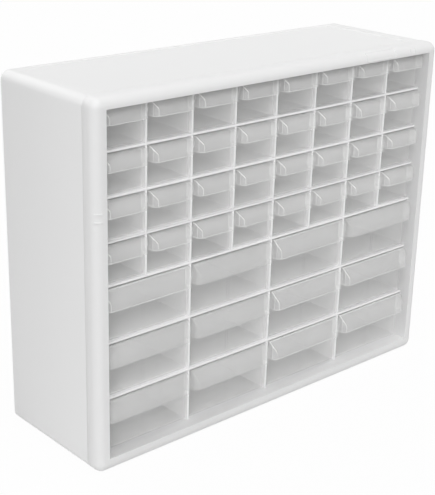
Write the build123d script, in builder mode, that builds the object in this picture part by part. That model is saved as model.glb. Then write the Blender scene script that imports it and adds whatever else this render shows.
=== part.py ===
from build123d import *
import os

# Parts bin cabinet: a free-standing moulded frame with small drawers in its upper
# rows and large drawers, each as wide as two small ones, in its lower rows.
# Millimetres. X runs to the right, Y from front to back, Z up.
# The origin is the middle of the cabinet's footprint, on the surface it stands on.

# ---------------------------------------------------------------- driving sizes
# Cabinet
cabinet_width = 508.0
cabinet_depth = 162.0
cabinet_height = 402.0
corner_radius = 11.0          # outline corners, seen from the front
bull_nose_radius = 10.0       # rounding all round the front of the bezel
bezel_depth = 19.0            # front plane to the joint with the rear case
bezel_skirt = 1.8             # outer wall of the bezel behind its rounding
bezel_nose_depth = 10.0       # solid front of the bezel, ahead of its hollow

# Grid of bays. Its lines are the middles of the plates, and the frame round it has
# a fixed breadth at the sides, the foot and the head.
frame_side = 14.0
frame_foot = 14.5
frame_head = 10.6
column_count = 8
small_row_count = 4
large_row_count = 3
columns_per_large = 2
small_row_pitch = 46.9
plate_thickness = 2.4         # shelves and uprights
grid_setback = 13.9           # bezel front to the front edges of the plates
plate_edge_bevel = 0.3

# Walls of the two shells
liner_wall = 2.0
case_wall = 2.4
case_inset = 0.5              # the bezel stands this far proud of the case
case_rear_bevel = 0.8
tongue_length = 4.0           # lap of the case inside the bezel's skirt
shell_joint_gap = 0.3
tongue_clearance = 0.2

# Stacking recess in the top
recess_depth = 1.0
recess_side_margin = 28.0
recess_front_margin = 31.0
recess_back_margin = 6.0
recess_bevel = 0.9

# How the plates seat in the liner and in each other
groove_depth = 1.0
groove_clearance = 0.15
groove_end_gap = 0.2
lap_clearance = 0.15
seat_groove_depth = 0.8

# Stop lugs under the shelves
lug_width = 16.0
lug_length = 2.0
lug_drop = 1.2
lug_setback = 8.0             # plate front edge to the lug

# Keyholes in the back
keyhole_spacing = 406.4
keyhole_drop = 40.0           # cabinet top to the middle of the entry holes
keyhole_entry_radius = 4.5
keyhole_slot_radius = 2.3
keyhole_travel = 9.0

# Drawers
drawer_side_gap = 1.1         # each side, to the upright
drawer_running_gap = 0.3      # over the shelf
drawer_rear_gap = 0.5         # to the back wall
front_top_gap = 1.0           # drawer front to the shelf above
side_step = 4.0               # the sides are this much lower than the front
drawer_wall = 1.2
front_setback = 3.0           # plate front edges to the drawer's front panel
front_edge_radius = 1.2
floor_cove = 1.5              # bevel inside, where the front meets the floor
tab_width = 12.0
tab_top_gap = 0.5
slot_rib_height = 1.0
slot_rib_width = 1.2
slot_rib_gap = 1.8

# Pull on each drawer: a hood that sweeps down and out to a lip
pull_top_reach = 4.8          # front panel to the top edge of the hood
pull_reach = 13.8             # front panel to the lip
small_pull_drop = 16.4        # top of the drawer front to the lip's lower edge
large_pull_drop = 21.9
pull_lip_height = 6.3
pull_sweep_sag = 1.9          # hollow of the sweep
pull_wall = 1.6
pull_corner_radius = 7.5
pull_space_bevel = 4.0        # corners of the finger space behind the rounded lip
pull_end_inset = 0.4

# ---------------------------------------------------------------- derived places
front_y = -cabinet_depth / 2
back_y = cabinet_depth / 2
bezel_back_y = front_y + bezel_depth
plate_front_y = front_y + grid_setback
back_wall_y = back_y - case_wall
liner_back_y = back_wall_y - groove_end_gap
plate_back_y = liner_back_y - groove_end_gap
lap_line = (plate_front_y + plate_back_y) / 2   # where crossing plates swap their slots
panel_y = plate_front_y + front_setback
drawer_back_y = back_wall_y - drawer_rear_gap
half_plate = plate_thickness / 2

grid_half_width = cabinet_width / 2 - frame_side
column_pitch = 2 * grid_half_width / column_count
grid_height = cabinet_height - frame_foot - frame_head
large_row_pitch = (grid_height - small_row_count * small_row_pitch) / large_row_count
inner_half_width = grid_half_width - half_plate
large_levels = [frame_foot + row * large_row_pitch for row in range(large_row_count + 1)]
border_level = large_levels[-1]
small_levels = [border_level + row * small_row_pitch for row in range(small_row_count + 1)]
inner_floor_z = frame_foot + half_plate
inner_ceiling_z = small_levels[-1] - half_plate
inner_middle_z = (inner_floor_z + inner_ceiling_z) / 2
inner_height = inner_ceiling_z - inner_floor_z

column_lines = [-grid_half_width + step * column_pitch for step in range(1, column_count)]
full_lines = column_lines[columns_per_large - 1::columns_per_large]
short_lines = [line for line in column_lines if line not in full_lines]
small_centres = [-grid_half_width + (step + 0.5) * column_pitch for step in range(column_count)]
large_pitch_x = columns_per_large * column_pitch
large_count = column_count // columns_per_large
large_centres = [-grid_half_width + (step + 0.5) * large_pitch_x for step in range(large_count)]

groove_width = plate_thickness + 2 * groove_clearance
slot_width = plate_thickness + 2 * lap_clearance
lug_y = plate_front_y + lug_setback

os.makedirs("parts", exist_ok=True)


def save(part, name):
    """Label one finished piece and write it under its own name."""
    part.label = name
    export_step(part, f"parts/{name}.step")


# ---------------------------------------------------------------- front frame
# One moulding: the bull-nosed bezel, hollow behind, and the liner that runs back
# from it as the floor, ceiling and side walls of the bays.
with BuildPart() as front_frame:
    with BuildSketch(Plane.XZ.offset(-bezel_back_y)):
        with Locations((0, cabinet_height / 2)):
            RectangleRounded(cabinet_width, cabinet_height, corner_radius)
    extrude(amount=bezel_depth)
    fillet(front_frame.faces().sort_by(Axis.Y)[0].edges(), bull_nose_radius)

    hollow_width = 2 * (inner_half_width + liner_wall)
    hollow_height = inner_height + 2 * liner_wall
    with BuildSketch(Plane.XZ.offset(-bezel_back_y)) as hollow:
        with Locations((0, cabinet_height / 2)):
            RectangleRounded(
                cabinet_width - 2 * bezel_skirt,
                cabinet_height - 2 * bezel_skirt,
                corner_radius - bezel_skirt,
            )
        with Locations((0, inner_middle_z)):
            Rectangle(hollow_width, hollow_height, mode=Mode.SUBTRACT)
    extrude(amount=bezel_depth - bezel_nose_depth, mode=Mode.SUBTRACT)

    with BuildSketch(Plane.XZ.offset(-bezel_back_y)):
        with Locations((0, inner_middle_z)):
            Rectangle(hollow_width, hollow_height)
    extrude(amount=-(liner_back_y - bezel_back_y))

    with BuildSketch(Plane.XZ.offset(-front_y)):
        with Locations((0, inner_middle_z)):
            Rectangle(2 * inner_half_width, inner_height)
    extrude(amount=-(liner_back_y - front_y), mode=Mode.SUBTRACT)

    # Grooves: one in each side wall for every shelf, one in the ceiling for every
    # upright, and one in the floor for each upright that reaches it.
    groove_length = liner_back_y - plate_front_y
    groove_middle_y = (liner_back_y + plate_front_y) / 2
    side_groove_span = 2 * (inner_half_width + groove_depth)
    for level in large_levels[1:] + small_levels[1:-1]:
        with Locations((0, groove_middle_y, level)):
            Box(side_groove_span, groove_length, groove_width, mode=Mode.SUBTRACT)
    for line in column_lines:
        with Locations((line, groove_middle_y, inner_ceiling_z)):
            Box(groove_width, groove_length, 2 * groove_depth, mode=Mode.SUBTRACT)
    for line in full_lines:
        with Locations((line, groove_middle_y, inner_floor_z)):
            Box(groove_width, groove_length, 2 * groove_depth, mode=Mode.SUBTRACT)

    # Stop lugs under the ceiling, for the top row of drawers
    for centre in small_centres:
        with Locations((centre, lug_y, inner_ceiling_z - lug_drop)):
            Box(lug_width, lug_length, lug_drop + liner_wall / 2,
                align=(Align.CENTER, Align.MIN, Align.MIN))
save(front_frame.part, "front_frame")

# ---------------------------------------------------------------- rear case
# Sleeve and back wall in one moulding. A tongue round its mouth laps inside the
# bezel's skirt, and the top has a shallow recess that locates a stacked cabinet.
case_width = cabinet_width - 2 * case_inset
case_height = cabinet_height - case_inset
case_radius = corner_radius - case_inset
case_front_y = bezel_back_y + shell_joint_gap
tongue_inset = bezel_skirt + tongue_clearance
recess_half_width = cabinet_width / 2 - recess_side_margin
recess_front = front_y + recess_front_margin
recess_back = back_y - recess_back_margin
keyhole_height = cabinet_height - keyhole_drop

with BuildPart() as rear_case:
    with BuildSketch(Plane.XZ.offset(-back_y)):
        with Locations((0, case_height / 2)):
            RectangleRounded(case_width, case_height, case_radius)
    extrude(amount=back_y - case_front_y)
    chamfer(rear_case.faces().sort_by(Axis.Y)[-1].edges(), case_rear_bevel)

    with BuildSketch(Plane.XZ.offset(-case_front_y)):
        with Locations((0, cabinet_height / 2)):
            RectangleRounded(
                cabinet_width - 2 * tongue_inset,
                cabinet_height - 2 * tongue_inset,
                corner_radius - tongue_inset,
            )
    extrude(amount=tongue_length)

    with BuildSketch(Plane.XZ.offset(-back_wall_y)):
        with Locations((0, case_height / 2)):
            RectangleRounded(
                case_width - 2 * case_wall,
                case_height - 2 * case_wall,
                case_radius - case_wall,
            )
    extrude(amount=back_wall_y - case_front_y + tongue_length, mode=Mode.SUBTRACT)

    # Stacking recess with bevelled edges
    with BuildSketch(Plane.XY.offset(case_height)):
        with Locations((0, (recess_front + recess_back) / 2)):
            Rectangle(2 * recess_half_width, recess_back - recess_front)
    extrude(amount=-recess_depth, mode=Mode.SUBTRACT)
    recess_arris = rear_case.edges().filter_by_position(
        Axis.Z, case_height - 0.01, case_height + 0.01
    ).filter_by_position(Axis.Y, recess_front - 0.01, recess_back + 0.01).filter_by(
        lambda edge: abs(edge.center().X) <= recess_half_width + 0.01
    )
    chamfer(recess_arris, recess_bevel)

    # Keyholes: an entry hole for the screw head, and a slot above it
    for side in (-1, 1):
        with BuildSketch(Plane.XZ.offset(-back_y)):
            with Locations((side * keyhole_spacing / 2, keyhole_height)):
                Circle(keyhole_entry_radius)
            with Locations((side * keyhole_spacing / 2, keyhole_height + keyhole_travel / 2)):
                SlotCenterToCenter(keyhole_travel, 2 * keyhole_slot_radius, rotation=90)
        extrude(amount=case_wall, mode=Mode.SUBTRACT)
save(rear_case.part, "rear_case")


# ---------------------------------------------------------------- shelves
def build_shelf(level, crossing_lines, lug_centres, seated_lines):
    """One horizontal plate. Slots from its rear edge let the uprights through, stop
    lugs hang below it, and shallow grooves in its top seat uprights that end on it."""
    shelf_half_width = inner_half_width + groove_depth - groove_end_gap
    with BuildPart() as shelf:
        with Locations((0, (plate_front_y + plate_back_y) / 2, level)):
            Box(2 * shelf_half_width, plate_back_y - plate_front_y, plate_thickness)
        chamfer(shelf.edges().filter_by(Axis.X).group_by(Axis.Y)[0], plate_edge_bevel)
        for line in crossing_lines:
            with Locations((line, lap_line, level)):
                Box(slot_width, plate_back_y - lap_line, plate_thickness,
                    align=(Align.CENTER, Align.MIN, Align.CENTER), mode=Mode.SUBTRACT)
        for line in seated_lines:
            with Locations((line, plate_front_y, level + half_plate)):
                Box(slot_width, plate_back_y - plate_front_y, 2 * seat_groove_depth,
                    align=(Align.CENTER, Align.MIN, Align.CENTER), mode=Mode.SUBTRACT)
        for centre in lug_centres:
            with Locations((centre, lug_y, level - half_plate - lug_drop)):
                Box(lug_width, lug_length, lug_drop + half_plate,
                    align=(Align.CENTER, Align.MIN, Align.MIN))
    return shelf.part


for row, level in enumerate(large_levels[1:-1], start=1):
    save(build_shelf(level, full_lines, large_centres, []), f"shelf_large_{row}")
save(build_shelf(border_level, full_lines, large_centres, short_lines), "shelf_border")
for row, level in enumerate(small_levels[1:-1], start=1):
    save(build_shelf(level, column_lines, small_centres, []), f"shelf_small_{row}")


# ---------------------------------------------------------------- uprights
def build_upright(line, bottom_z, crossed_levels):
    """One vertical plate up to the ceiling groove, slotted from its front edge
    where it crosses a shelf."""
    top_z = inner_ceiling_z + groove_depth - groove_end_gap
    with BuildPart() as upright:
        with Locations((line, plate_front_y, bottom_z)):
            Box(plate_thickness, plate_back_y - plate_front_y, top_z - bottom_z,
                align=(Align.CENTER, Align.MIN, Align.MIN))
        chamfer(upright.edges().filter_by(Axis.Z).group_by(Axis.Y)[0], plate_edge_bevel)
        for level in crossed_levels:
            with Locations((line, plate_front_y, level)):
                Box(plate_thickness, lap_line + lap_clearance - plate_front_y, slot_width,
                    align=(Align.CENTER, Align.MIN, Align.CENTER), mode=Mode.SUBTRACT)
    return upright.part


full_bottom_z = inner_floor_z - groove_depth + groove_end_gap
short_bottom_z = border_level + half_plate - seat_groove_depth + lap_clearance
for number, line in enumerate(full_lines, start=1):
    upright = build_upright(line, full_bottom_z, large_levels[1:] + small_levels[1:-1])
    save(upright, f"upright_full_{number}")
for number, line in enumerate(short_lines, start=1):
    save(build_upright(line, short_bottom_z, small_levels[1:-1]), f"upright_short_{number}")


# ---------------------------------------------------------------- drawers
def build_pull(width, top_z, drop):
    """Hooded pull in front of the drawer's panel. Its face sweeps down and out to a
    lip with rounded corners, and the finger space behind it is open below."""
    head_y = panel_y - pull_top_reach
    lip_y = panel_y - pull_reach
    foot_z = top_z - drop
    lip_top_z = foot_z + pull_lip_height
    with BuildPart() as hood:
        with BuildSketch(Plane.YZ.offset(-width / 2)):
            with BuildLine():
                Polyline((panel_y, foot_z), (panel_y, top_z), (head_y, top_z))
                SagittaArc((head_y, top_z), (lip_y, lip_top_z), -pull_sweep_sag)
                Polyline((lip_y, lip_top_z), (lip_y, foot_z), (panel_y, foot_z))
            make_face()
        extrude(amount=width)
        with BuildSketch(Plane.XY.offset(foot_z)) as plan:
            with Locations((0, (panel_y + lip_y) / 2)):
                Rectangle(width, pull_reach)
            fillet(plan.vertices().group_by(Axis.Y)[0], pull_corner_radius)
        extrude(amount=drop, mode=Mode.INTERSECT)

    space_width = width - 2 * pull_wall
    space_top_z = top_z - pull_wall
    with BuildPart() as finger_space:
        with BuildSketch(Plane.YZ.offset(-space_width / 2)):
            with BuildLine():
                Polyline((panel_y, foot_z), (panel_y, space_top_z),
                         (head_y + pull_wall, space_top_z))
                SagittaArc((head_y + pull_wall, space_top_z),
                           (lip_y + pull_wall, lip_top_z), -pull_sweep_sag)
                Polyline((lip_y + pull_wall, lip_top_z), (lip_y + pull_wall, foot_z),
                         (panel_y, foot_z))
            make_face()
        extrude(amount=space_width)
        chamfer(finger_space.edges().filter_by(Axis.Z).group_by(Axis.Y)[0],
                pull_space_bevel)
    return hood.part, finger_space.part


def build_drawer(bay_width, bay_height, pull_drop, slotted):
    """One drawer in place in a bay whose floor is at Z = 0 and whose middle is X = 0:
    an open tub, its pull, and a tab on the rear wall that catches the stop lug."""
    width = bay_width - 2 * drawer_side_gap
    bottom_z = drawer_running_gap
    front_top_z = bay_height - front_top_gap
    side_top_z = front_top_z - side_step
    tab_top_z = bay_height - tab_top_gap
    length = drawer_back_y - panel_y
    inner_front_y = panel_y + drawer_wall
    inner_back_y = drawer_back_y - drawer_wall
    inner_floor = bottom_z + drawer_wall
    hood, finger_space = build_pull(width - 2 * pull_end_inset, front_top_z, pull_drop)
    with BuildPart() as drawer:
        with Locations((0, panel_y, bottom_z)):
            Box(width, length, side_top_z - bottom_z,
                align=(Align.CENTER, Align.MIN, Align.MIN))
        with Locations((0, panel_y, side_top_z)):
            Box(width, drawer_wall, side_step, align=(Align.CENTER, Align.MIN, Align.MIN))
        fillet(drawer.edges().filter_by(Axis.X).group_by(Axis.Z)[0].sort_by(Axis.Y)[0],
               front_edge_radius)
        with BuildSketch(Plane.YZ.offset(drawer_wall - width / 2)):
            with BuildLine():
                Polyline((inner_front_y, inner_floor + floor_cove),
                         (inner_front_y, side_top_z),
                         (inner_back_y, side_top_z),
                         (inner_back_y, inner_floor),
                         (inner_front_y + floor_cove, inner_floor),
                         (inner_front_y, inner_floor + floor_cove))
            make_face()
        extrude(amount=width - 2 * drawer_wall, mode=Mode.SUBTRACT)
        with Locations((0, inner_back_y, side_top_z)):
            Box(tab_width, drawer_wall, tab_top_z - side_top_z,
                align=(Align.CENTER, Align.MIN, Align.MIN))
        add(hood)
        add(finger_space, mode=Mode.SUBTRACT)
        if slotted:
            rib_x = (slot_rib_gap + slot_rib_width) / 2
            rib_foot_z = inner_floor + floor_cove
            rib_top_z = side_top_z - side_step
            for x in (-rib_x, rib_x):
                for y, side in ((inner_front_y, Align.MIN), (inner_back_y, Align.MAX)):
                    with Locations((x, y, rib_foot_z)):
                        Box(slot_rib_width, slot_rib_height, rib_top_z - rib_foot_z,
                            align=(Align.CENTER, side, Align.MIN))
    return drawer.part


small_bay_width = column_pitch - plate_thickness
small_bay_height = small_row_pitch - plate_thickness
large_bay_width = large_pitch_x - plate_thickness
large_bay_height = large_row_pitch - plate_thickness
small_drawer = build_drawer(small_bay_width, small_bay_height, small_pull_drop, False)
large_drawer = build_drawer(large_bay_width, large_bay_height, large_pull_drop, True)

# Rows are numbered from the top and columns from the left, as seen from the front.
for row, level in enumerate(reversed(small_levels[:-1]), start=1):
    for column, centre in enumerate(small_centres, start=1):
        placed = small_drawer.moved(Location((centre, 0, level + half_plate)))
        save(placed, f"drawer_small_r{row}_c{column}")
for row, level in enumerate(reversed(large_levels[:-1]), start=small_row_count + 1):
    for column, centre in enumerate(large_centres, start=1):
        placed = large_drawer.moved(Location((centre, 0, level + half_plate)))
        save(placed, f"drawer_large_r{row}_c{column}")
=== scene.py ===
import math

import bmesh
import bpy
from bpy.props import FloatProperty, FloatVectorProperty, PointerProperty
from mathutils import Matrix, Vector


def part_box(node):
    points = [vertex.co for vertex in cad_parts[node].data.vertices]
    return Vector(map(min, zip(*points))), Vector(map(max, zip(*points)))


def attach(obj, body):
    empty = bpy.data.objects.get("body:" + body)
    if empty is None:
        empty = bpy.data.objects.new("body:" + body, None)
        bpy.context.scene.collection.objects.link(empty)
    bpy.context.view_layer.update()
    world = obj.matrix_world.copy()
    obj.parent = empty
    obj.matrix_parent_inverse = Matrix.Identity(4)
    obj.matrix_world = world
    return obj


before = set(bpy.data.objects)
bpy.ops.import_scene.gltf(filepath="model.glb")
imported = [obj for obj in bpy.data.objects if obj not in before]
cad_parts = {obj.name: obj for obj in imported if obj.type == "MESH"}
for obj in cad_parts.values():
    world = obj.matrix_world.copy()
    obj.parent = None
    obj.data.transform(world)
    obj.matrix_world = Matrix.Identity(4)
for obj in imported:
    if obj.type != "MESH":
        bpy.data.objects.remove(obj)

bl_info = {
    "name": "Parts Bin Cabinet Looks",
    "version": (1, 0, 0),
    "blender": (4, 5, 0),
    "location": "View3D > Sidebar > Bin Cabinet",
    "description": "Finishes, trim and studio for a moulded cabinet of parts drawers",
    "category": "Object",
}

MM = 0.001
WORLD_X = Vector((1, 0, 0))
WORLD_Y = Vector((0, 1, 0))
WORLD_Z = Vector((0, 0, 1))

# Front panel of a closed drawer: where its face stands along Y, and its thickness
PANEL_FRONT = -64.1 * MM
PANEL_THICKNESS = 1.2 * MM

# Softening of the edges
WELD_DISTANCE = 0.005 * MM
FLAT_ANGLE = math.radians(0.5)
SHARP_ANGLE = math.radians(30)
EDGE_SEGMENTS = 2
TRIM_EDGE_RADIUS = 0.2 * MM

# Pads that run round the nose
NOSE_STEPS = 10
MERGE_DISTANCE = 0.001 * MM

# Surfaces
PEEL_DEPTH = 0.05 * MM
CLOUD_SCALE = 22.0
MOULDING_IOR = 1.5
CLEAR_PLASTIC_IOR = 1.57
FLOOR_ROUGHNESS = 0.9

# Directions that the lights come from. An azimuth turns from the front to the right.
KEY_AZIMUTH = math.radians(-8)
KEY_ELEVATION = math.radians(76)
FILL_AZIMUTH = math.radians(-44)
FILL_ELEVATION = math.radians(28)
BACK_AZIMUTH = math.radians(-175)
BACK_ELEVATION = math.radians(30)


# ------------------------------------------------------------------ settings
class ShellFinish(bpy.types.PropertyGroup):
    """White moulded frame, case, shelves and uprights."""

    colour: FloatVectorProperty(
        name="Colour", description="White of the moulded polystyrene",
        subtype="COLOR", size=3, min=0, max=1, default=(0.80, 0.80, 0.80),
    )
    # Painted light: the shelves and uprights are the same white plastic as the frame, given a
    # brighter white that stands in for light the inside of the cabinet lacks.
    grid_colour_painted_bright: FloatVectorProperty(
        name="Grid colour", description="White of the thinner shelves and uprights",
        subtype="COLOR", size=3, min=0, max=1, default=(0.93, 0.93, 0.93),
    )
    roughness: FloatProperty(
        name="Roughness", description="Satin surface of the moulding",
        subtype="FACTOR", min=0, max=1, default=0.42,
    )
    edge_radius: FloatProperty(
        name="Edge radius", description="Softened arris left by the mould",
        subtype="DISTANCE", unit="LENGTH", min=0, default=0.4 * MM,
    )


class DrawerFinish(bpy.types.PropertyGroup):
    """Clear, slightly cloudy moulded drawers."""

    colour: FloatVectorProperty(
        name="Colour", description="Tint of the clear plastic",
        subtype="COLOR", size=3, min=0, max=1, default=(0.97, 0.97, 0.965),
    )
    roughness: FloatProperty(
        name="Roughness", description="Gloss of the moulded faces",
        subtype="FACTOR", min=0, max=1, default=0.10,
    )
    clearness: FloatProperty(
        name="Clearness", description="Share of the view that passes straight through a face",
        subtype="FACTOR", min=0, max=1, default=0.79,
    )
    cloud: FloatProperty(
        name="Cloud", description="How far the clearness wanders over a face",
        subtype="FACTOR", min=0, max=1, default=0.03,
    )
    # Painted highlight: a low clearness makes the rims nearly opaque white, standing in for the
    # bright lines that clear edges gather from the light.
    rim_clearness_painted_highlight: FloatProperty(
        name="Rim clearness", description="The same share at the edges, which gather light",
        subtype="FACTOR", min=0, max=1, default=0.05,
    )
    light_let_in: FloatProperty(
        name="Light let in",
        description="Share of what a face holds back that still lights the inside",
        subtype="FACTOR", min=0, max=1, default=1.0,
    )
    edge_radius: FloatProperty(
        name="Edge radius", description="Rounding of every edge of a drawer",
        subtype="DISTANCE", unit="LENGTH", min=0, default=0.8 * MM,
    )


class TrimSettings(bpy.types.PropertyGroup):
    """Bare plate and raised ticks on the front frame's nose."""

    nose_radius: FloatProperty(
        name="Nose radius", description="Rounding of the front frame's outer edge",
        subtype="DISTANCE", unit="LENGTH", min=0, default=10 * MM,
    )
    plate_length: FloatProperty(
        name="Plate length", description="Length of the bare plate on the top rail",
        subtype="DISTANCE", unit="LENGTH", min=0, default=50 * MM,
    )
    plate_from_side: FloatProperty(
        name="Plate from side", description="Distance of the plate's middle from the right side",
        subtype="DISTANCE", unit="LENGTH", min=0, default=101.5 * MM,
    )
    plate_sweep: FloatProperty(
        name="Plate sweep", description="How far round the nose the plate reaches",
        subtype="ANGLE", unit="ROTATION", default=math.radians(62),
    )
    plate_rise: FloatProperty(
        name="Plate rise", description="How far the plate's rim stands proud of the rail",
        subtype="DISTANCE", unit="LENGTH", min=0, default=0.8 * MM,
    )
    plate_rim: FloatProperty(
        name="Plate rim", description="Width of the raised rim round the plate",
        subtype="DISTANCE", unit="LENGTH", min=0, default=0.9 * MM,
    )
    plate_recess: FloatProperty(
        name="Plate recess", description="Depth of the plate's face inside its rim",
        subtype="DISTANCE", unit="LENGTH", min=0, default=0.65 * MM,
    )
    tick_width: FloatProperty(
        name="Tick width", description="Thickness of a raised tick",
        subtype="DISTANCE", unit="LENGTH", min=0, default=1.6 * MM,
    )
    tick_rise: FloatProperty(
        name="Tick rise", description="How far a tick stands proud of the nose",
        subtype="DISTANCE", unit="LENGTH", min=0, default=0.6 * MM,
    )
    top_tick_sweep: FloatProperty(
        name="Top tick sweep", description="How far round the nose a tick on the top rail runs",
        subtype="ANGLE", unit="ROTATION", default=math.radians(39),
    )
    side_tick_sweep: FloatProperty(
        name="Side tick sweep", description="How far round the nose a tick on the left rail runs",
        subtype="ANGLE", unit="ROTATION", default=math.radians(53),
    )
    top_ticks: FloatVectorProperty(
        name="Top ticks",
        description="Distances of the two ticks on the top rail from the right side",
        subtype="XYZ_LENGTH", unit="LENGTH", size=2, default=(50 * MM, 41 * MM),
    )
    side_ticks: FloatVectorProperty(
        name="Side ticks", description="Heights of the two ticks on the left rail",
        subtype="XYZ_LENGTH", unit="LENGTH", size=2, default=(288 * MM, 279.5 * MM),
    )


class StudioSettings(bpy.types.PropertyGroup):
    """Camera, light and floor."""

    camera_place: FloatVectorProperty(
        name="Camera place", description="Where the camera stands",
        subtype="TRANSLATION", unit="LENGTH", size=3, default=(-0.872339, -0.941115, 0.655219),
    )
    camera_azimuth: FloatProperty(
        name="Azimuth", description="Turn of the view round the object",
        subtype="ANGLE", unit="ROTATION", default=math.radians(-42.123),
    )
    camera_elevation: FloatProperty(
        name="Elevation", description="How far the view looks down",
        subtype="ANGLE", unit="ROTATION", default=math.radians(20.602),
    )
    camera_roll: FloatProperty(
        name="Roll", description="Lean of the view",
        subtype="ANGLE", unit="ROTATION", default=math.radians(1.433),
    )
    lens: FloatProperty(
        name="Lens", description="Focal length on a 36 mm long side", min=10, default=84.64,
    )
    sky_level: FloatProperty(
        name="Sky level", description="Strength of the even white light all round",
        min=0, default=0.32,
    )
    key_level: FloatProperty(
        name="Key level", description="White reached by a surface that faces the light overhead",
        min=0, default=0.41,
    )
    fill_level: FloatProperty(
        name="Fill level",
        description="White reached by a surface that faces the light at the front left",
        min=0, default=0.42,
    )
    back_level: FloatProperty(
        name="Back level", description="White reached by a surface that faces the light behind",
        min=0, default=0.16,
    )
    light_spread: FloatProperty(
        name="Light spread", description="Width of each soft light, as an angle in the sky",
        subtype="ANGLE", unit="ROTATION", default=math.radians(50),
    )
    floor_size: FloatProperty(
        name="Floor size", description="Side of the pale floor",
        subtype="DISTANCE", unit="LENGTH", min=1, default=8.0,
    )
    floor_colour: FloatVectorProperty(
        name="Floor colour", description="Pale grey of the floor under the lights",
        subtype="COLOR", size=3, min=0, max=1, default=(0.68, 0.68, 0.68),
    )
    floor_glow: FloatProperty(
        name="Floor glow", description="Share of pure white in the floor as the camera sees it",
        subtype="FACTOR", min=0, max=1, default=0.97,
    )


class CabinetSettings(bpy.types.PropertyGroup):
    """All settings of the cabinet's looks."""

    shell: PointerProperty(type=ShellFinish)
    drawer: PointerProperty(type=DrawerFinish)
    trim: PointerProperty(type=TrimSettings)
    studio: PointerProperty(type=StudioSettings)


def settings():
    """The scene's own settings for this cabinet."""
    return bpy.context.scene.bin_cabinet


# ------------------------------------------------------------------ shader nodes
def feed(tree, socket, value):
    """Sets an input to a number, or links another node's output to it."""
    if isinstance(value, (int, float)):
        socket.default_value = value
    else:
        tree.links.new(value, socket)


def math_node(tree, operation, first, second):
    """A maths node, with an output or a number at each input."""
    node = tree.nodes.new("ShaderNodeMath")
    node.operation = operation
    feed(tree, node.inputs[0], first)
    feed(tree, node.inputs[1], second)
    return node.outputs[0]


def map_range(tree, value, to_min, to_max, from_min=0.0, from_max=1.0):
    """Maps one range of a value onto another, and holds it at both ends."""
    node = tree.nodes.new("ShaderNodeMapRange")
    node.inputs["From Min"].default_value = from_min
    node.inputs["From Max"].default_value = from_max
    node.inputs["To Min"].default_value = to_min
    node.inputs["To Max"].default_value = to_max
    tree.links.new(value, node.inputs["Value"])
    return node.outputs["Result"]


def noise(tree, place, scale, detail):
    """A noise pattern over the given coordinates."""
    node = tree.nodes.new("ShaderNodeTexNoise")
    node.inputs["Detail"].default_value = detail
    feed(tree, node.inputs["Scale"], scale)
    tree.links.new(place, node.inputs["Vector"])
    return node.outputs["Fac"]


def seen_by_eye(tree):
    """1 for rays from the camera, from a reflection or through clear plastic."""
    path = tree.nodes.new("ShaderNodeLightPath")
    either = math_node(tree, "MAXIMUM", path.outputs["Is Camera Ray"],
                       path.outputs["Is Glossy Ray"])
    return math_node(tree, "MAXIMUM", either, path.outputs["Is Transmission Ray"])


def new_group(name, inputs, outputs):
    """An empty shader group with float inputs {name: default} and outputs {name: kind}."""
    group = bpy.data.node_groups.new(name, "ShaderNodeTree")
    for label, default in inputs.items():
        socket = group.interface.new_socket(label, in_out="INPUT", socket_type="NodeSocketFloat")
        socket.default_value = default
    for label, kind in outputs.items():
        group.interface.new_socket(label, in_out="OUTPUT", socket_type=kind)
    entry = group.nodes.new("NodeGroupInput")
    result = group.nodes.new("NodeGroupOutput")
    return group, entry, result


def mould_skin_group():
    """Fine orange peel of a moulded surface over a slow ripple, and a mask of polish."""
    name = "Mould skin"
    if name in bpy.data.node_groups:
        return bpy.data.node_groups[name]
    group, entry, result = new_group(
        name,
        {"Peel Scale": 900.0, "Ripple Scale": 14.0, "Ripple Share": 0.5, "Polish Scale": 6.0},
        {"Height": "NodeSocketFloat", "Polish": "NodeSocketFloat"},
    )
    place = group.nodes.new("ShaderNodeTexCoord").outputs["Object"]
    peel = noise(group, place, entry.outputs["Peel Scale"], detail=3.0)
    ripple = noise(group, place, entry.outputs["Ripple Scale"], detail=1.0)
    raised = math_node(group, "MULTIPLY", ripple, entry.outputs["Ripple Share"])
    height = math_node(group, "ADD", peel, raised)
    polish = noise(group, place, entry.outputs["Polish Scale"], detail=4.0)
    group.links.new(height, result.inputs["Height"])
    group.links.new(polish, result.inputs["Polish"])
    return group


# ------------------------------------------------------------------ materials
def new_material(name):
    """A material with only a Principled shader and its output."""
    material = bpy.data.materials.new(name)
    material.use_nodes = True
    tree = material.node_tree
    shader = next(node for node in tree.nodes if node.type == "BSDF_PRINCIPLED")
    return material, tree, shader


def add_mould_skin(tree, shader, roughness, spread, bump, peel_scale):
    """Gives a Principled shader the mould's fine relief, and a polish that wanders to
    either side of its roughness."""
    skin = tree.nodes.new("ShaderNodeGroup")
    skin.node_tree = mould_skin_group()
    skin.inputs["Peel Scale"].default_value = peel_scale
    relief = tree.nodes.new("ShaderNodeBump")
    relief.inputs["Strength"].default_value = bump
    relief.inputs["Distance"].default_value = PEEL_DEPTH
    tree.links.new(skin.outputs["Height"], relief.inputs["Height"])
    tree.links.new(relief.outputs["Normal"], shader.inputs["Normal"])
    polish = map_range(tree, skin.outputs["Polish"], roughness - spread, roughness + spread)
    tree.links.new(polish, shader.inputs["Roughness"])


def white_material(name, colour):
    """Satin white polystyrene."""
    if name in bpy.data.materials:
        return bpy.data.materials[name]
    material, tree, shader = new_material(name)
    shader.inputs["Base Color"].default_value = (*colour, 1)
    shader.inputs["IOR"].default_value = MOULDING_IOR
    add_mould_skin(tree, shader, settings().shell.roughness,
                   spread=0.06, bump=0.35, peel_scale=900.0)
    return material


def white_moulding_material():
    """The heavy mouldings of the front frame and the rear case."""
    return white_material("white_moulding", settings().shell.colour)


def grid_material_painted_bright():
    """The thin mouldings of the shelves and the uprights, whose brighter white than the frame's
    is painted light for the dim inside of the cabinet.
    """
    return white_material("white_grid_painted_bright", settings().shell.grid_colour_painted_bright)


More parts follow.
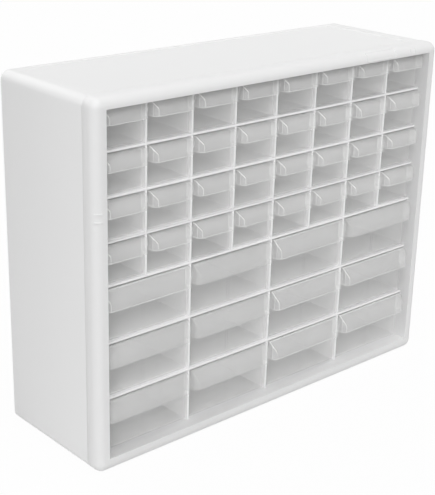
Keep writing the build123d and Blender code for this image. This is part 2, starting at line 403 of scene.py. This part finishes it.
def clear_plastic(name, clearness, cloud, deep_clearness=None):
    """Clear drawer plastic, each face of which shows a share of what lies behind it. A second
    share, where one is given, holds from the back of the front panel on, so that the rims'
    painted highlight stays on the front panel and pull."""
    if name in bpy.data.materials:
        return bpy.data.materials[name]
    finish = settings().drawer
    material, tree, shader = new_material(name)
    shader.inputs["Base Color"].default_value = (*finish.colour, 1)
    shader.inputs["IOR"].default_value = CLEAR_PLASTIC_IOR
    place = tree.nodes.new("ShaderNodeTexCoord").outputs["Object"]
    opacity = map_range(tree, noise(tree, place, CLOUD_SCALE, detail=3.0),
                        1 - clearness - cloud, 1 - clearness + cloud)
    if deep_clearness is not None:
        # On the rims, this clears the painted highlight from the back of the front panel on.
        apart = tree.nodes.new("ShaderNodeSeparateXYZ")
        tree.links.new(place, apart.inputs["Vector"])
        painted_highlight_fade = map_range(tree, apart.outputs["Y"], 0.0, clearness - deep_clearness,
                           from_min=PANEL_FRONT, from_max=PANEL_FRONT + PANEL_THICKNESS)
        opacity = math_node(tree, "ADD", opacity, painted_highlight_fade)
    path = tree.nodes.new("ShaderNodeLightPath")
    lighting = math_node(tree, "MAXIMUM", path.outputs["Is Shadow Ray"],
                         path.outputs["Is Diffuse Ray"])
    let_in = math_node(tree, "MULTIPLY", lighting, -finish.light_let_in)
    held_back = math_node(tree, "ADD", let_in, 1.0)
    tree.links.new(math_node(tree, "MULTIPLY", opacity, held_back), shader.inputs["Alpha"])
    add_mould_skin(tree, shader, finish.roughness, spread=0.04, bump=0.15, peel_scale=500.0)
    return material


def cloudy_plastic_material():
    """The faces of a drawer."""
    finish = settings().drawer
    return clear_plastic("cloudy_plastic", finish.clearness, finish.cloud)


def drawer_rim_painted_highlight_material():
    """The rounded edges of a drawer, made nearly opaque white round its front panel and pull as a
    painted highlight for the bright lines that clear edges gather from the light.
    """
    finish = settings().drawer
    return clear_plastic("plastic_rim_painted_highlight", finish.rim_clearness_painted_highlight, 0.0, finish.clearness)


def floor_material():
    """Pale floor, white to the camera and in reflections, which still takes a soft shadow."""
    studio = settings().studio
    material, tree, shader = new_material("pale_floor")
    shader.inputs["Base Color"].default_value = (*studio.floor_colour, 1)
    shader.inputs["Roughness"].default_value = FLOOR_ROUGHNESS
    output = next(node for node in tree.nodes if node.type == "OUTPUT_MATERIAL")
    white = tree.nodes.new("ShaderNodeEmission")
    to_the_eye = tree.nodes.new("ShaderNodeMixShader")
    to_the_eye.inputs["Fac"].default_value = studio.floor_glow
    tree.links.new(shader.outputs["BSDF"], to_the_eye.inputs[1])
    tree.links.new(white.outputs["Emission"], to_the_eye.inputs[2])
    blend = tree.nodes.new("ShaderNodeMixShader")
    tree.links.new(seen_by_eye(tree), blend.inputs["Fac"])
    tree.links.new(shader.outputs["BSDF"], blend.inputs[1])
    tree.links.new(to_the_eye.outputs["Shader"], blend.inputs[2])
    tree.links.new(blend.outputs["Shader"], output.inputs["Surface"])
    return material


# ------------------------------------------------------------------ dressing the CAD nodes
def soften_edges(piece, radius):
    """Rounds the sharp edges of a piece with a modifier, which it returns."""
    piece.data.polygons.foreach_set("use_smooth", [True] * len(piece.data.polygons))
    soften = piece.modifiers.new("soft_edges", "BEVEL")
    soften.width = radius
    soften.segments = EDGE_SEGMENTS
    soften.limit_method = "ANGLE"
    soften.angle_limit = SHARP_ANGLE
    soften.harden_normals = True
    return soften


def dress_node(name, materials, edge_radius):
    """Gives a CAD node its finish and softens its edges. The last of its materials goes
    on the softened edges."""
    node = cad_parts[name]
    node.data.materials.clear()
    for material in materials:
        node.data.materials.append(material)
    weld = node.modifiers.new("weld", "WELD")
    weld.merge_threshold = WELD_DISTANCE
    flats = node.modifiers.new("flats", "DECIMATE")
    flats.decimate_type = "DISSOLVE"
    flats.angle_limit = FLAT_ANGLE
    soften = soften_edges(node, edge_radius)
    soften.material = len(materials) - 1


class CABINET_OT_dress_frame(bpy.types.Operator):
    """Finish the front frame, the rear case, the shelves and the uprights"""

    bl_idname = "bin_cabinet.dress_frame"
    bl_label = "Dress Frame"

    def execute(self, context):
        radius = settings().shell.edge_radius
        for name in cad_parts:
            if name.startswith(("shelf_", "upright_")):
                dress_node(name, [grid_material_painted_bright()], radius)
            elif not name.startswith("drawer_"):
                dress_node(name, [white_moulding_material()], radius)
        return {"FINISHED"}


class CABINET_OT_dress_drawers(bpy.types.Operator):
    """Finish every drawer"""

    bl_idname = "bin_cabinet.dress_drawers"
    bl_label = "Dress Drawers"

    def execute(self, context):
        materials = [cloudy_plastic_material(), drawer_rim_painted_highlight_material()]
        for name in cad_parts:
            if name.startswith("drawer_"):
                dress_node(name, materials, settings().drawer.edge_radius)
        return {"FINISHED"}


# ------------------------------------------------------------------ trim on the front frame
def add_piece(name, shape):
    """Makes a white piece of the front frame from a finished bmesh."""
    mesh = bpy.data.meshes.new(name)
    shape.to_mesh(mesh)
    shape.free()
    mesh.materials.append(white_moulding_material())
    piece = bpy.data.objects.new(name, mesh)
    bpy.context.scene.collection.objects.link(piece)
    soften_edges(piece, TRIM_EDGE_RADIUS)
    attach(piece, "cabinet")


def on_top_rail(from_side):
    """The middle of the nose's rounding on the top rail, at a distance from the right side."""
    low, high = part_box("front_frame")
    radius = settings().trim.nose_radius
    return Vector((high.x - from_side, low.y + radius, high.z - radius))


def on_left_rail(height):
    """The middle of the nose's rounding on the left rail, at a height."""
    low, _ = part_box("front_frame")
    radius = settings().trim.nose_radius
    return Vector((low.x + radius, low.y + radius, height))


def nose_pad(centre, axis, sweep, width, rise):
    """A raised pad of a given width that runs round the nose from its front face. It
    sweeps about the nose's axis through its centre, and stands as deep in it as proud."""
    shape = bmesh.new()
    bmesh.ops.create_grid(shape, x_segments=1, y_segments=1, size=0.5)
    bmesh.ops.scale(shape, verts=shape.verts, vec=(2 * rise, width, 1))
    bmesh.ops.translate(shape, verts=shape.verts, vec=(settings().trim.nose_radius, 0, 0))
    front = -WORLD_Y
    upright = Matrix((front, axis, front.cross(axis))).transposed().to_4x4()
    bmesh.ops.transform(shape, matrix=Matrix.Translation(centre) @ upright, verts=shape.verts)
    bmesh.ops.spin(shape, geom=shape.verts[:] + shape.edges[:] + shape.faces[:], cent=centre,
                   axis=axis, angle=sweep, steps=NOSE_STEPS)
    bmesh.ops.remove_doubles(shape, verts=shape.verts, dist=MERGE_DISTANCE)
    bmesh.ops.recalc_face_normals(shape, faces=shape.faces)
    return shape


class CABINET_OT_add_plate(bpy.types.Operator):
    """Add the bare plate on the top rail"""

    bl_idname = "bin_cabinet.add_plate"
    bl_label = "Add Plate"

    def execute(self, context):
        trim = settings().trim
        centre = on_top_rail(trim.plate_from_side)
        plate = nose_pad(centre, WORLD_X, -trim.plate_sweep, trim.plate_length,
                         trim.plate_rise)
        reach = trim.nose_radius + trim.plate_rise / 2
        outer = [face for face in plate.faces
                 if (face.calc_center_median() - centre).yz.length > reach]
        bmesh.ops.inset_region(plate, faces=outer, thickness=trim.plate_rim,
                               depth=-trim.plate_recess, use_even_offset=True)
        add_piece("bare_plate", plate)
        return {"FINISHED"}


class CABINET_OT_add_ticks(bpy.types.Operator):
    """Add the raised ticks on the top rail and the left rail"""

    bl_idname = "bin_cabinet.add_ticks"
    bl_label = "Add Ticks"

    def execute(self, context):
        trim = settings().trim
        for number, from_side in enumerate(trim.top_ticks, 1):
            tick = nose_pad(on_top_rail(from_side), WORLD_X, -trim.top_tick_sweep,
                            trim.tick_width, trim.tick_rise)
            add_piece(f"top_tick_{number}", tick)
        for number, height in enumerate(trim.side_ticks, 1):
            tick = nose_pad(on_left_rail(height), WORLD_Z, -trim.side_tick_sweep,
                            trim.tick_width, trim.tick_rise)
            add_piece(f"side_tick_{number}", tick)
        return {"FINISHED"}


# ------------------------------------------------------------------ studio
def aim(azimuth, elevation, roll=0.0):
    """Turn of a camera or light that looks at the object from an azimuth and an elevation."""
    back = Vector((
        math.sin(azimuth) * math.cos(elevation),
        -math.cos(azimuth) * math.cos(elevation),
        math.sin(elevation),
    ))
    level_right = WORLD_Z.cross(back).normalized()
    level_up = back.cross(level_right)
    right = math.cos(roll) * level_right + math.sin(roll) * level_up
    up = math.cos(roll) * level_up - math.sin(roll) * level_right
    return Matrix((right, up, back)).transposed().to_4x4()


def add_camera(studio):
    """The camera at the photograph's place and angle."""
    data = bpy.data.cameras.new("camera")
    data.lens = studio.lens
    camera = bpy.data.objects.new("camera", data)
    turn = aim(studio.camera_azimuth, studio.camera_elevation, studio.camera_roll)
    camera.matrix_world = Matrix.Translation(studio.camera_place) @ turn
    bpy.context.scene.collection.objects.link(camera)
    bpy.context.scene.camera = camera


def add_soft_light(name, azimuth, elevation, level):
    """A wide, distant light from a given direction. Its level is the brightness that it
    gives a white surface that faces it."""
    data = bpy.data.lights.new(name, "SUN")
    data.energy = math.pi * level
    data.angle = settings().studio.light_spread
    light = bpy.data.objects.new(name, data)
    light.matrix_world = aim(azimuth, elevation)
    bpy.context.scene.collection.objects.link(light)


def add_sky(studio):
    """White background, which lights the object at a lower level."""
    world = bpy.data.worlds.new("studio")
    bpy.context.scene.world = world
    world.use_nodes = True
    tree = world.node_tree
    background = next(node for node in tree.nodes if node.type == "BACKGROUND")
    background.inputs["Color"].default_value = (1, 1, 1, 1)
    strength = map_range(tree, seen_by_eye(tree), studio.sky_level, 1.0)
    tree.links.new(strength, background.inputs["Strength"])


def add_floor(studio):
    """One large level sheet under the object."""
    mesh = bpy.data.meshes.new("floor")
    shape = bmesh.new()
    bmesh.ops.create_grid(shape, x_segments=1, y_segments=1, size=studio.floor_size / 2)
    shape.to_mesh(mesh)
    shape.free()
    mesh.materials.append(floor_material())
    floor = bpy.data.objects.new("floor", mesh)
    bpy.context.scene.collection.objects.link(floor)


class CABINET_OT_set_studio(bpy.types.Operator):
    """Set up the floor, the light and the camera"""

    bl_idname = "bin_cabinet.set_studio"
    bl_label = "Set Studio"

    def execute(self, context):
        studio = settings().studio
        context.scene.view_settings.view_transform = "Standard"
        add_sky(studio)
        add_floor(studio)
        add_soft_light("key", KEY_AZIMUTH, KEY_ELEVATION, studio.key_level)
        add_soft_light("fill", FILL_AZIMUTH, FILL_ELEVATION, studio.fill_level)
        add_soft_light("back", BACK_AZIMUTH, BACK_ELEVATION, studio.back_level)
        add_camera(studio)
        return {"FINISHED"}


# ------------------------------------------------------------------ panel and registration
class CABINET_PT_looks(bpy.types.Panel):
    """Lists the steps and their settings"""

    bl_idname = "CABINET_PT_looks"
    bl_label = "Bin Cabinet"
    bl_space_type = "VIEW_3D"
    bl_region_type = "UI"
    bl_category = "Bin Cabinet"

    def draw(self, context):
        for step in STEPS:
            self.layout.operator(step.bl_idname)
        cabinet = settings()
        for group in (cabinet.shell, cabinet.drawer, cabinet.trim, cabinet.studio):
            box = self.layout.box()
            for name in group.__annotations__:
                box.prop(group, name)


STEPS = (
    CABINET_OT_dress_frame,
    CABINET_OT_dress_drawers,
    CABINET_OT_add_plate,
    CABINET_OT_add_ticks,
    CABINET_OT_set_studio,
)
CLASSES = (
    ShellFinish, DrawerFinish, TrimSettings, StudioSettings, CabinetSettings, *STEPS,
    CABINET_PT_looks,
)


def register():
    for cls in CLASSES:
        bpy.utils.register_class(cls)
    bpy.types.Scene.bin_cabinet = PointerProperty(type=CabinetSettings)


def unregister():
    del bpy.types.Scene.bin_cabinet
    for cls in reversed(CLASSES):
        bpy.utils.unregister_class(cls)


def main():
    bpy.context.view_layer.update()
    register()
    bpy.ops.bin_cabinet.dress_frame()
    bpy.ops.bin_cabinet.dress_drawers()
    bpy.ops.bin_cabinet.add_plate()
    bpy.ops.bin_cabinet.add_ticks()
    bpy.ops.bin_cabinet.set_studio()


if __name__ == "__main__":
    main()
